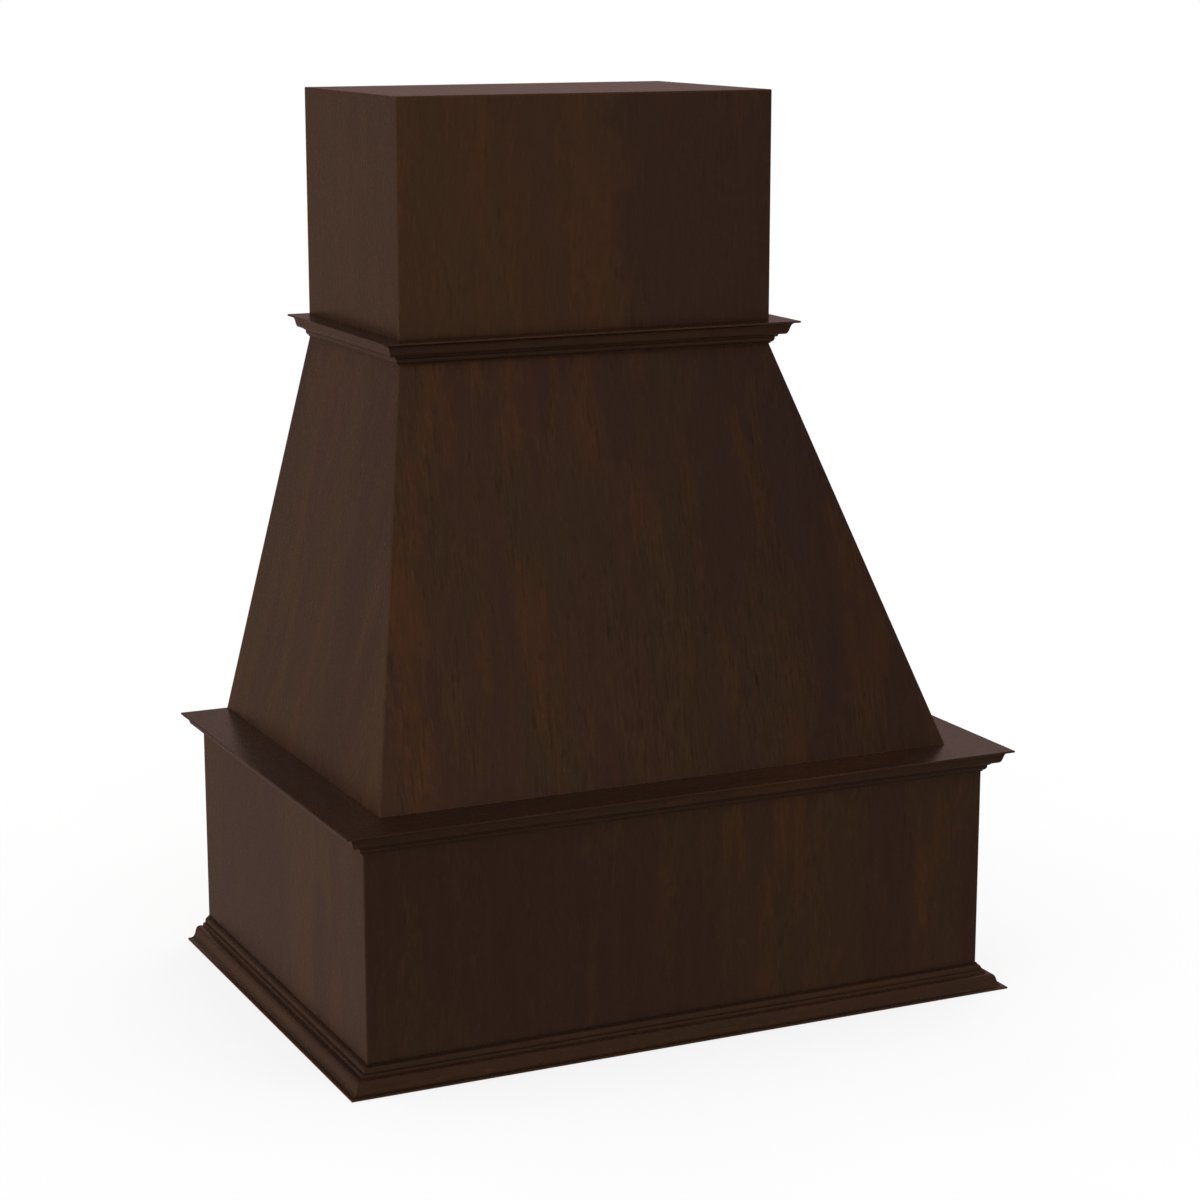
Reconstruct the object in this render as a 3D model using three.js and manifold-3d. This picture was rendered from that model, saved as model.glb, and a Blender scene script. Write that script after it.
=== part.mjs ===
// A wooden cover for a kitchen range hood: a plain rectangular apron box with a moulded base and a
// moulded ledge, a tapered canopy standing on the ledge, a moulded collar, and a square chimney box.
// Millimetres, +Z up. X runs left to right, the wall is on the +Y side and the front faces -Y.
// The origin is the middle of the footprint, on the plane of the bottom rim.

import * as THREE from "three";
import { mergeVertices } from "three/addons/utils/BufferGeometryUtils.js";
import Module from "manifold-3d";

// ---------------------------------------------------------------- driving dimensions
const INCH = 25.4;

const OVERALL_WIDTH = 33.25 * INCH; // over the base and ledge mouldings
const OVERALL_DEPTH = 23.5 * INCH; // wall to the tip of the front mouldings
const OVERALL_HEIGHT = 42 * INCH;

const MOULD_OUT = 1.125 * INCH; // how far a moulding stands out from the face it is on
const MOULD_HIGH = 1.125 * INCH;
const PLY = 0.5 * INCH; // all skins
const BATTEN = 0.75 * INCH; // thickness of every hidden batten, cleat and rail

const BOX_WIDTH = OVERALL_WIDTH - 2 * MOULD_OUT; // 31 in, so 30 in clear between the skins
const BOX_DEPTH = OVERALL_DEPTH - MOULD_OUT;
const LEDGE_TOP = 11.75 * INCH; // height of the flat ledge the canopy stands on
const DECK_BOARD = 3 * INCH; // width of the boards that make the ledge

const FOOT_SETBACK = 1.25 * INCH; // canopy foot, in from the faces of the apron box
const FOOT_WIDTH = BOX_WIDTH - 2 * FOOT_SETBACK;
const FOOT_DEPTH = BOX_DEPTH - FOOT_SETBACK;
const NECK_Z = 30 * INCH; // where the canopy ends and the chimney starts

const CHIMNEY_WIDTH = 19 * INCH;
const CHIMNEY_DEPTH = 12 * INCH;

const LEDGER_LOW = 0.75 * INCH; // underside of the strips that carry the vent insert
const LEDGER_HIGH = 1.5 * INCH;
const LOW_RAIL_HIGH = 3 * INCH; // hanging rails, screwed through into the wall
const TOP_RAIL_HIGH = 2.5 * INCH;
const NECK_LAP = 1.5 * INCH; // reach of the neck cleats above the joint
const NECK_DROP = 21; // and below it
const HIP_LEG = 32; // leg of the battens inside the canopy's hips
const REAR_BATTEN = 1.5 * INCH;
const FOOT_CLEAT = 22.2;
const LOW_BLOCK = 1 * INCH; // corner blocks in the apron box
const TOP_BLOCK = BATTEN; // corner blocks in the chimney

const GLUE = 0.3; // glue line between touching pieces
const MITRE = 0.2; // half of the glue line in a mitre, measured along the face

const SCREW_HEAD_R = 4.2;
const SCREW_SHANK_R = 2.1;
const SCREW_LONG = 1 * INCH;
const SCREW_ROOM = 0.3; // pilot hole, larger than the screw all round

// The one moulding section used three times. [out from the face, distance from the wide edge]:
// a thin lip, a cove, a rounded nose, a small step, a second cove and a bead that dies into the face.
const MOULD_SECTION = [
  [28.575, 0],
  [28.575, 1.9],
  [28.1, 2.3],
  [23.4, 2.9],
  [21.7, 3.7],
  [20.4, 5.3],
  [19.4, 7.6],
  [18.6, 10.2],
  [17.8, 12.7],
  [17.0, 14.3],
  [15.8, 15.7],
  [14.3, 16.6],
  [12.6, 17.1],
  [10.6, 17.8],
  [9.6, 19.9],
  [7.9, 20.5],
  [6.3, 21.8],
  [5.1, 23.6],
  [4.3, 25.6],
  [3.3, 26.9],
  [1.9, 27.6],
  [1.5, 28.575],
  [GLUE, 28.575],
  [GLUE, 0],
];

// ---------------------------------------------------------------- finishes
const finish = (color, roughness, metalness = 0) =>
  new THREE.MeshStandardMaterial({ color, roughness, metalness });
const stainedSkin = () => finish(0x3a281e, 0.42);
const stainedMoulding = () => finish(0x36241b, 0.4);
const stainedDeck = () => finish(0x3d2a21, 0.4);
const bareBatten = () => finish(0xc8a878, 0.8);
const screwZinc = () => finish(0x9a9a96, 0.35, 0.9);

// ---------------------------------------------------------------- geometry helpers
const wasm = await Module();
wasm.setup();

// Keeps positions only, merges shared corners and turns every face outwards.
function closed(geometry) {
  const bare = new THREE.BufferGeometry();
  bare.setAttribute("position", geometry.getAttribute("position").clone());
  if (geometry.index) bare.setIndex(geometry.index.clone());
  const g = mergeVertices(bare, 1e-4);
  const p = g.getAttribute("position");
  const idx = Array.from(g.index.array);
  const a = new THREE.Vector3();
  const b = new THREE.Vector3();
  const c = new THREE.Vector3();
  let volume = 0;
  for (let i = 0; i < idx.length; i += 3) {
    a.fromBufferAttribute(p, idx[i]);
    b.fromBufferAttribute(p, idx[i + 1]);
    c.fromBufferAttribute(p, idx[i + 2]);
    volume += a.dot(b.clone().cross(c));
  }
  if (volume < 0)
    for (let i = 0; i < idx.length; i += 3)
      [idx[i + 1], idx[i + 2]] = [idx[i + 2], idx[i + 1]];
  g.setIndex(idx);
  return g;
}

// A closed prism between two copies of a flat outline. place(a, b, t) says where the outline's
// point (a, b) stands at the start (t = 0) and at the end (t = 1) of the prism.
function prism(outline, place) {
  const shape = new THREE.Shape(outline.map(([a, b]) => new THREE.Vector2(a, b)));
  const g = new THREE.ExtrudeGeometry(shape, { depth: 1, steps: 1, bevelEnabled: false });
  const p = g.getAttribute("position");
  for (let i = 0; i < p.count; i++) {
    const [x, y, z] = place(p.getX(i), p.getY(i), Math.round(p.getZ(i)));
    p.setXYZ(i, x, y, z);
  }
  return closed(g);
}

const block = (x0, x1, y0, y1, z0, z1) =>
  closed(
    new THREE.BoxGeometry(x1 - x0, y1 - y0, z1 - z0).translate(
      (x0 + x1) / 2,
      (y0 + y1) / 2,
      (z0 + z1) / 2,
    ),
  );

function toSolid(g) {
  return new wasm.Manifold(
    new wasm.Mesh({
      numProp: 3,
      vertProperties: new Float32Array(g.getAttribute("position").array),
      triVerts: new Uint32Array(g.index.array),
    }),
  );
}

function fromSolid(solid) {
  const m = solid.getMesh();
  const g = new THREE.BufferGeometry();
  const v = new Float32Array(m.numVert * 3);
  for (let i = 0; i < m.numVert; i++)
    v.set(m.vertProperties.subarray(i * m.numProp, i * m.numProp + 3), i * 3);
  g.setAttribute("position", new THREE.BufferAttribute(v, 3));
  g.setIndex(new THREE.BufferAttribute(new Uint32Array(m.triVerts), 1));
  return g;
}

function cut(geometry, cutters) {
  let solid = toSolid(geometry);
  for (const c of cutters) solid = solid.subtract(toSolid(c));
  return fromSolid(solid);
}

function piece(group, name, geometry, material) {
  const g = geometry.toNonIndexed();
  g.computeVertexNormals();
  const mesh = new THREE.Mesh(g, material);
  mesh.name = name;
  group.add(mesh);
  return mesh;
}

// Inside each group y = 0 is the wall and the front is at -depth.
// A member that wraps round the front of a box of the given half width and depth, mitred at the two
// front corners and cut square at the wall. Its outline is [out from the face, height].
const wrapFront = (outline, halfWidth, depth) =>
  prism(outline, (u, z, t) => [
    (t ? 1 : -1) * (halfWidth + u - MITRE),
    -depth - u,
    z,
  ]);
const wrapSide = (outline, halfWidth, depth, side) =>
  prism(outline, (u, z, t) => [
    side * (halfWidth + u),
    t ? 0 : -depth - u + MITRE,
    z,
  ]);
const rectangle = (a0, a1, b0, b1) => [
  [a0, b0],
  [a1, b0],
  [a1, b1],
  [a0, b1],
];
const SIDES = [
  ["left", -1],
  ["right", 1],
];

function wrapThree(group, name, outline, halfWidth, depth, material) {
  piece(group, name + "_front", wrapFront(outline, halfWidth, depth), material());
  for (const [word, side] of SIDES)
    piece(group, name + "_" + word, wrapSide(outline, halfWidth, depth, side), material());
}

// ---------------------------------------------------------------- screws
// Countersunk wood screw along +Z, the flat of its head at z = 0 and its point at z = SCREW_LONG.
function screwShape(room) {
  const r = SCREW_SHANK_R + room;
  const h = SCREW_HEAD_R + room;
  const lift = room ? 1 : 0; // a pilot hole is open at the surface
  const profile = [
    [0, -lift],
    [h, -lift],
    [h, 0.4],
    [r, 2.7],
    [r, SCREW_LONG - 3.5 + room],
    [0.35 + room, SCREW_LONG + room],
    [0, SCREW_LONG + room],
  ].map(([a, b]) => new THREE.Vector2(a, b));
  return new THREE.LatheGeometry(profile, 14).rotateX(Math.PI / 2);
}

// at: middle of the head's flat face; into: the way the screw is driven.
function aimed(geometry, at, into) {
  const turn = new THREE.Quaternion().setFromUnitVectors(
    new THREE.Vector3(0, 0, 1),
    new THREE.Vector3(...into),
  );
  return closed(
    geometry.applyQuaternion(turn).translate(at[0], at[1], at[2]),
  );
}
const screwPiece = (at, into) => {
  const seat = at.map((v, i) => v + 0.15 * into[i]); // the head sits a hair below the surface
  return aimed(screwShape(0), seat, into);
};
const pilotHole = (at, into) => aimed(screwShape(SCREW_ROOM), at, into);

// ---------------------------------------------------------------- canopy planes
// Heights here are above the ledge. The canopy tapers to the chimney's own outline at the neck.
const CANOPY_HIGH = NECK_Z - LEDGE_TOP;
const SIDE_RUN = (FOOT_WIDTH - CHIMNEY_WIDTH) / 2 / CANOPY_HIGH;
const FRONT_RUN = (FOOT_DEPTH - CHIMNEY_DEPTH) / CANOPY_HIGH;
const halfWidthAt = (z) => FOOT_WIDTH / 2 - SIDE_RUN * z;
const depthAt = (z) => FOOT_DEPTH - FRONT_RUN * z;
// The sloping plywood, measured level.
const SIDE_THICK = PLY * Math.hypot(1, SIDE_RUN);
const FRONT_THICK = PLY * Math.hypot(1, FRONT_RUN);
const innerX = (z) => halfWidthAt(z) - SIDE_THICK;
const innerY = (z) => -depthAt(z) + FRONT_THICK;

// ---------------------------------------------------------------- the cover
const cover = new THREE.Group();
cover.position.y = OVERALL_DEPTH / 2; // group y = 0 is the wall

const apron = new THREE.Group();
const canopy = new THREE.Group();
canopy.position.z = LEDGE_TOP;
const neck = new THREE.Group();
neck.position.z = NECK_Z;
const chimney = new THREE.Group();
chimney.position.z = NECK_Z;
cover.add(apron, canopy, neck, chimney);

// ---- apron box ----
const boxHalf = BOX_WIDTH / 2;
const boxIn = boxHalf - PLY - GLUE; // inside of the side skins, less the glue line
const boxFrontIn = -BOX_DEPTH + PLY + GLUE;
const deckUnder = LEDGE_TOP - PLY;

// Strips inside the rim that carry the vent insert, and the screws that hold them to the skins.
const ledgerZ0 = LEDGER_LOW;
const ledgerZ1 = LEDGER_LOW + LEDGER_HIGH;
const ledgerMid = (ledgerZ0 + ledgerZ1) / 2;
const frontLedgerBack = boxFrontIn + BATTEN;
const sideLedgerIn = boxIn - BATTEN;
const ledgerScrews = [
  ["front_a", [-190, frontLedgerBack, ledgerMid], [0, -1, 0]],
  ["front_b", [190, frontLedgerBack, ledgerMid], [0, -1, 0]],
  ["left_a", [-sideLedgerIn, -420, ledgerMid], [-1, 0, 0]],
  ["left_b", [-sideLedgerIn, -150, ledgerMid], [-1, 0, 0]],
  ["right_a", [sideLedgerIn, -420, ledgerMid], [1, 0, 0]],
  ["right_b", [sideLedgerIn, -150, ledgerMid], [1, 0, 0]],
];
const ledgerPilots = (word) =>
  ledgerScrews
    .filter(([name]) => name.startsWith(word))
    .map(([, at, into]) => pilotHole(at, into));

// Skins: mitred at the front corners, standing on the rim plane, the ledge boards on top of them.
const skinLow = rectangle(-PLY, 0, 0, deckUnder - GLUE);
piece(
  apron,
  "apron_front_panel",
  cut(wrapFront(skinLow, boxHalf, BOX_DEPTH), ledgerPilots("front")),
  stainedSkin(),
);
for (const [word, side] of SIDES)
  piece(
    apron,
    "apron_" + word + "_panel",
    cut(wrapSide(skinLow, boxHalf, BOX_DEPTH, side), ledgerPilots(word)),
    stainedSkin(),
  );

// Base moulding, wide edge down; ledge moulding, wide edge up and flush with the ledge.
wrapThree(
  apron,
  "base_moulding",
  MOULD_SECTION.map(([u, w]) => [u, w]),
  boxHalf,
  BOX_DEPTH,
  stainedMoulding,
);
wrapThree(
  apron,
  "ledge_moulding",
  MOULD_SECTION.map(([u, w]) => [u, LEDGE_TOP - w]),
  boxHalf,
  BOX_DEPTH,
  stainedMoulding,
);

piece(
  apron,
  "liner_ledger_front",
  cut(
    block(-boxIn, boxIn, boxFrontIn, frontLedgerBack, ledgerZ0, ledgerZ1),
    ledgerPilots("front"),
  ),
  bareBatten(),
);
for (const [word, side] of SIDES) {
  const x = [side * sideLedgerIn, side * boxIn].sort((a, b) => a - b);
  piece(
    apron,
    "liner_ledger_" + word,
    cut(
      block(x[0], x[1], frontLedgerBack + GLUE, -BATTEN - GLUE, ledgerZ0, ledgerZ1),
      ledgerPilots(word),
    ),
    bareBatten(),
  );
}
piece(
  apron,
  "liner_ledger_back",
  block(-boxIn, boxIn, -BATTEN, 0, ledgerZ0, ledgerZ1),
  bareBatten(),
);
for (const [name, at, into] of ledgerScrews)
  piece(apron, "ledger_screw_" + name, screwPiece(at, into), screwZinc());

// Glue blocks up the two front corners, with the inside corner planed off.
function cornerBlock(leg, cornerX, cornerY, side, z0, z1) {
  const c = 6;
  return prism(
    [
      [0, 0],
      [leg, 0],
      [leg, c],
      [c, leg],
      [0, leg],
    ],
    (a, b, t) => [side * (cornerX - a), cornerY + b, t ? z1 : z0],
  );
}
for (const [word, side] of SIDES)
  piece(
    apron,
    "apron_corner_block_" + word,
    cornerBlock(LOW_BLOCK, boxIn, boxFrontIn, side, ledgerZ1 + GLUE, deckUnder - 2 * GLUE),
    bareBatten(),
  );

// Hanging rail under the ledge boards, at the wall.
piece(
  apron,
  "apron_wall_rail",
  block(-boxIn, boxIn, -BATTEN, 0, deckUnder - GLUE - LOW_RAIL_HIGH, deckUnder - GLUE),
  bareBatten(),
);

// ---- foot of the canopy: cleats screwed down to the ledge boards ----
const footHigh = BATTEN;
const frontFootIn = innerY(GLUE) + GLUE + FOOT_CLEAT;
const sideFootIn = innerX(GLUE) - GLUE - FOOT_CLEAT;
const frontFootTopMid = (innerY(GLUE + footHigh) + GLUE + frontFootIn) / 2;
const sideFootTopMid = (innerX(GLUE + footHigh) - GLUE + sideFootIn) / 2;
const footTop = GLUE + footHigh;
// Heights above the ledge.
const footScrews = [
  ["front_a", [-170, frontFootTopMid, footTop], [0, 0, -1]],
  ["front_b", [170, frontFootTopMid, footTop], [0, 0, -1]],
  ["left_a", [-sideFootTopMid, -380, footTop], [0, 0, -1]],
  ["left_b", [-sideFootTopMid, -120, footTop], [0, 0, -1]],
  ["right_a", [sideFootTopMid, -380, footTop], [0, 0, -1]],
  ["right_b", [sideFootTopMid, -120, footTop], [0, 0, -1]],
];
const footPilots = (word, lift) =>
  footScrews
    .filter(([name]) => name.startsWith(word))
    .map(([, at, into]) => pilotHole([at[0], at[1], at[2] + lift], into));

// Ledge boards: a frame of three, mitred at the front corners, open at the wall.
const deckOutline = rectangle(-DECK_BOARD, 0, deckUnder, LEDGE_TOP);
piece(
  apron,
  "ledge_board_front",
  cut(wrapFront(deckOutline, boxHalf, BOX_DEPTH), footPilots("front", LEDGE_TOP)),
  stainedDeck(),
);
for (const [word, side] of SIDES)
  piece(
    apron,
    "ledge_board_" + word,
    cut(wrapSide(deckOutline, boxHalf, BOX_DEPTH, side), footPilots(word, LEDGE_TOP)),
    stainedDeck(),
  );

piece(
  canopy,
  "canopy_foot_cleat_front",
  cut(
    prism(
      [
        [innerY(GLUE) + GLUE, GLUE],
        [frontFootIn, GLUE],
        [frontFootIn, footTop],
        [innerY(footTop) + GLUE, footTop],
      ],
      (y, z, t) => [(t ? 1 : -1) * (innerX(footTop) - HIP_LEG - 1), y, z],
    ),
    footPilots("front", 0),
  ),
  bareBatten(),
);
for (const [word, side] of SIDES)
  piece(
    canopy,
    "canopy_foot_cleat_" + word,
    cut(
      prism(
        [
          [innerX(GLUE) - GLUE, GLUE],
          [sideFootIn, GLUE],
          [sideFootIn, footTop],
          [innerX(footTop) - GLUE, footTop],
        ],
        (x, z, t) => [
          side * x,
          t ? -BATTEN - GLUE : innerY(footTop) + HIP_LEG + 1,
          z,
        ],
      ),
      footPilots(word, 0),
    ),
    bareBatten(),
  );
for (const [name, at, into] of footScrews)
  piece(canopy, "foot_screw_" + name, screwPiece(at, into), screwZinc());

// ---- canopy skins ----
// Outline [0 at the outer face to 1 at the inner face, height above the ledge].
const canopyTop = CANOPY_HIGH - GLUE / 2;
const canopySkin = rectangle(0, 1, GLUE, canopyTop);
piece(
  canopy,
  "canopy_front_panel",
  prism(canopySkin, (k, z, t) => [
    (t ? 1 : -1) * (halfWidthAt(z) - k * SIDE_THICK - MITRE),
    -depthAt(z) + k * FRONT_THICK,
    z,
  ]),
  stainedSkin(),
);
for (const [word, side] of SIDES)
  piece(
    canopy,
    "canopy_" + word + "_panel",
    prism(canopySkin, (k, z, t) => [
      side * (halfWidthAt(z) - k * SIDE_THICK),
      t ? 0 : -depthAt(z) + k * FRONT_THICK + MITRE,
      z,
    ]),
    stainedSkin(),
  );

// Battens behind the two front hips, and sloping battens up the open back.
const neckCleatLow = CANOPY_HIGH - NECK_DROP;
const hipTop = neckCleatLow - GLUE;
const HIP_GLUE = 0.35;
for (const [word, side] of SIDES)
  piece(
    canopy,
    "hip_batten_" + word,
    prism(
      [
        [0, 0],
        [HIP_LEG, 0],
        [HIP_LEG, 6],
        [6, HIP_LEG],
        [0, HIP_LEG],
      ],
      (a, b, t) => {
        const z = t ? hipTop : GLUE;
        return [side * (innerX(z) - HIP_GLUE - a), innerY(z) + HIP_GLUE + b, z];
      },
    ),
    bareBatten(),
  );
const neckRailLow = neckCleatLow - 3;
for (const [word, side] of SIDES)
  piece(
    canopy,
    "canopy_rear_batten_" + word,
    prism(
      [
        [innerX(GLUE) - HIP_GLUE, GLUE],
        [innerX(GLUE) - HIP_GLUE - REAR_BATTEN, GLUE],
        [innerX(neckRailLow) - HIP_GLUE - REAR_BATTEN, neckRailLow - GLUE],
        [innerX(neckRailLow) - HIP_GLUE, neckRailLow - GLUE],
      ],
      (x, z, t) => [side * x, t ? 0 : -BATTEN, z],
    ),
    bareBatten(),
  );

// ---- neck: cleats that lap the joint between canopy and chimney, and the collar ----
// Heights here are above the neck joint.
const stackHalf = CHIMNEY_WIDTH / 2;
const stackIn = stackHalf - PLY - GLUE;
const stackFrontIn = -CHIMNEY_DEPTH + PLY + GLUE;
const neckX = stackHalf - SIDE_THICK - GLUE;
const neckY = -CHIMNEY_DEPTH + FRONT_THICK + GLUE;
const neckCleatIn = neckY + BATTEN;
piece(
  neck,
  "neck_cleat_front",
  prism(
    [
      [neckY + FRONT_RUN * -NECK_DROP, -NECK_DROP],
      [neckCleatIn, -NECK_DROP],
      [neckCleatIn, NECK_LAP],
      [stackFrontIn, NECK_LAP],
      [stackFrontIn, 1.2],
      [neckY, -0.3],
    ],
    (y, z, t) => [(t ? 1 : -1) * neckX, y, z],
  ),
  bareBatten(),
);
for (const [word, side] of SIDES)
  piece(
    neck,
    "neck_cleat_" + word,
    prism(
      [
        [neckX + SIDE_RUN * NECK_DROP, -NECK_DROP],
        [neckX - BATTEN, -NECK_DROP],
        [neckX - BATTEN, NECK_LAP],
        [stackIn, NECK_LAP],
        [stackIn, 1.2],
        [neckX, -0.3],
      ],
      (x, z, t) => [side * x, t ? -BATTEN - GLUE : neckCleatIn + GLUE, z],
    ),
    bareBatten(),
  );
piece(
  neck,
  "neck_wall_rail",
  block(-neckX, neckX, -BATTEN, 0, -NECK_DROP - 3, NECK_LAP),
  bareBatten(),
);
wrapThree(
  neck,
  "collar_moulding",
  MOULD_SECTION.map(([u, w]) => [u, MOULD_HIGH - w]),
  stackHalf,
  CHIMNEY_DEPTH,
  stainedMoulding,
);

// ---- chimney ----
const stackHigh = OVERALL_HEIGHT - NECK_Z;
const lidUnder = stackHigh - PLY;
wrapThree(
  chimney,
  "chimney_panel",
  rectangle(-PLY, 0, GLUE / 2, stackHigh),
  stackHalf,
  CHIMNEY_DEPTH,
  stainedSkin,
);
piece(
  chimney,
  "chimney_top_panel",
  block(-stackIn, stackIn, stackFrontIn, 0, lidUnder, stackHigh),
  stainedSkin(),
);
const lidCleatTop = lidUnder - GLUE;
const lidCleatLow = lidCleatTop - BATTEN;
piece(
  chimney,
  "top_cleat_front",
  block(-stackIn, stackIn, stackFrontIn, stackFrontIn + BATTEN, lidCleatLow, lidCleatTop),
  bareBatten(),
);
for (const [word, side] of SIDES) {
  const x = [side * (stackIn - BATTEN), side * stackIn].sort((a, b) => a - b);
  piece(
    chimney,
    "top_cleat_" + word,
    block(
      x[0],
      x[1],
      stackFrontIn + BATTEN + GLUE,
      -BATTEN - GLUE,
      lidCleatLow,
      lidCleatTop,
    ),
    bareBatten(),
  );
}
for (const [word, side] of SIDES)
  piece(
    chimney,
    "chimney_corner_block_" + word,
    cornerBlock(TOP_BLOCK, stackIn, stackFrontIn, side, NECK_LAP + GLUE, lidCleatLow - GLUE),
    bareBatten(),
  );
piece(
  chimney,
  "chimney_wall_rail",
  block(-stackIn, stackIn, -BATTEN, 0, lidCleatTop - TOP_RAIL_HIGH, lidCleatTop),
  bareBatten(),
);

export default cover;
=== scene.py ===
"""Wooden cover for a kitchen range hood, dressed for its studio picture.

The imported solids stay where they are. Every surface that shows from outside is built again here with
eased edges and a finer moulding section; hidden battens, cleats and rails keep their own solids.
Metres, Z up, the wall on +Y, the front on -Y.
"""

import math

import bmesh
import bpy
from mathutils import Matrix, Vector


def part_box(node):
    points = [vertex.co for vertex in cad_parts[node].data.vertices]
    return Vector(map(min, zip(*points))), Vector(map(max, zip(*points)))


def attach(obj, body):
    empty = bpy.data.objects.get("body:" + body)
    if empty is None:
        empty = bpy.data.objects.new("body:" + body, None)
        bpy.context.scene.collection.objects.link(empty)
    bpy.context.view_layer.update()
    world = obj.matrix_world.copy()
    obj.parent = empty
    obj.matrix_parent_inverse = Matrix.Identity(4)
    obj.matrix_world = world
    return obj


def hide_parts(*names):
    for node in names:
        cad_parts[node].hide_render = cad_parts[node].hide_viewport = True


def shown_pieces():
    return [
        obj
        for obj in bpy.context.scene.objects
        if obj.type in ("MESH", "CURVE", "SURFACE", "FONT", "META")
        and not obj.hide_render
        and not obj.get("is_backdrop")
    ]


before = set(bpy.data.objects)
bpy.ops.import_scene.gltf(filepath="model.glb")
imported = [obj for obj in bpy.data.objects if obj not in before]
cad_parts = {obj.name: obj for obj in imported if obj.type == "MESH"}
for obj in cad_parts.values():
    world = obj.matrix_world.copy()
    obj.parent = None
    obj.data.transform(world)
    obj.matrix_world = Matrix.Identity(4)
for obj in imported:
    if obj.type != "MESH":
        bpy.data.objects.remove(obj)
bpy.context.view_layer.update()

MM = 0.001

# ---------------------------------------------------------------- dimensions, as in the solids (mm)
WALL = 298.45
PLY = 12.7
BOX_HALF, BOX_DEEP = 393.7, 568.325
LEDGE_TOP = 298.45
DECK = 76.2
FOOT_HALF, FOOT_DEEP = 361.95, 536.575
NECK_Z = 762.0
STACK_HALF, STACK_DEEP = 241.3, 304.8
TOP_Z = 1066.8
MOULD_HIGH = 28.575
SIDE_RUN = (FOOT_HALF - STACK_HALF) / (NECK_Z - LEDGE_TOP)
FRONT_RUN = (FOOT_DEEP - STACK_DEEP) / (NECK_Z - LEDGE_TOP)
SIDE_THICK = PLY * math.hypot(1, SIDE_RUN)
FRONT_THICK = PLY * math.hypot(1, FRONT_RUN)


# ================================================================ node helpers
class Nodes:
    """Short names for making nodes in one material or world tree."""

    def __init__(self, tree):
        self.tree = tree
        self.tree.nodes.clear()

    def add(self, kind, **props):
        node = self.tree.nodes.new(kind)
        for key, value in props.items():
            setattr(node, key, value)
        return node

    def put(self, socket, value):
        if isinstance(value, bpy.types.NodeSocket):
            self.tree.links.new(value, socket)
        else:
            socket.default_value = value

    def math(self, op, a, b=0.0, c=None, clamp=False):
        node = self.add("ShaderNodeMath", operation=op, use_clamp=clamp)
        self.put(node.inputs[0], a)
        self.put(node.inputs[1], b)
        if c is not None:
            self.put(node.inputs[2], c)
        return node.outputs[0]

    def vector(self, op, a, b=(0.0, 0.0, 0.0), scale=None):
        node = self.add("ShaderNodeVectorMath", operation=op)
        self.put(node.inputs[0], a)
        if op != "SCALE":
            self.put(node.inputs[1], b)
        if scale is not None:
            self.put(node.inputs["Scale"], scale)
        return node.outputs["Value" if op in ("LENGTH", "DOT_PRODUCT") else "Vector"]

    def noise(self, at, stretch, detail=2.0, rough=0.5, distortion=0.0, colour=False):
        """Noise of the given number of features per metre along each axis of at."""
        node = self.add("ShaderNodeTexNoise", noise_dimensions="3D")
        self.put(node.inputs["Vector"], self.vector("MULTIPLY", at, stretch))
        self.put(node.inputs["Scale"], 1.0)
        self.put(node.inputs["Detail"], detail)
        self.put(node.inputs["Roughness"], rough)
        self.put(node.inputs["Distortion"], distortion)
        return node.outputs["Color" if colour else 0]

    def span(self, value, a, b, c=0.0, d=1.0, smooth=True):
        node = self.add(
            "ShaderNodeMapRange",
            interpolation_type="SMOOTHSTEP" if smooth else "LINEAR",
            clamp=True,
        )
        self.put(node.inputs["Value"], value)
        for key, number in zip(("From Min", "From Max", "To Min", "To Max"), (a, b, c, d)):
            self.put(node.inputs[key], number)
        return node.outputs["Result"]

    def mix(self, factor, a, b, blend="MIX"):
        node = self.add("ShaderNodeMix", data_type="RGBA", blend_type=blend)
        self.put(node.inputs[0], factor)
        self.put(node.inputs[6], a)
        self.put(node.inputs[7], b)
        return node.outputs[2]

    def attribute(self, name, output):
        return self.add("ShaderNodeAttribute", attribute_name=name).outputs[output]

    def bump(self, height, strength, distance, normal=None):
        node = self.add("ShaderNodeBump")
        self.put(node.inputs["Strength"], strength)
        self.put(node.inputs["Distance"], distance)
        self.put(node.inputs["Height"], height)
        if normal is not None:
            self.put(node.inputs["Normal"], normal)
        return node.outputs["Normal"]

    def surface(self, colour, rough, normal, specular=0.5, metallic=0.0):
        shader = self.add("ShaderNodeBsdfPrincipled")
        self.put(shader.inputs["Base Color"], colour)
        self.put(shader.inputs["Roughness"], rough)
        self.put(shader.inputs["Metallic"], metallic)
        self.put(shader.inputs["Specular IOR Level"], specular)
        if normal is not None:
            self.put(shader.inputs["Normal"], normal)
        out = self.add("ShaderNodeOutputMaterial")
        self.tree.links.new(shader.outputs[0], out.inputs["Surface"])
        return shader


def material(name):
    m = bpy.data.materials.new(name)
    m.use_nodes = True
    return m, Nodes(m.node_tree)


def rgb(r, g, b):
    return (r, g, b, 1.0)


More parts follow.
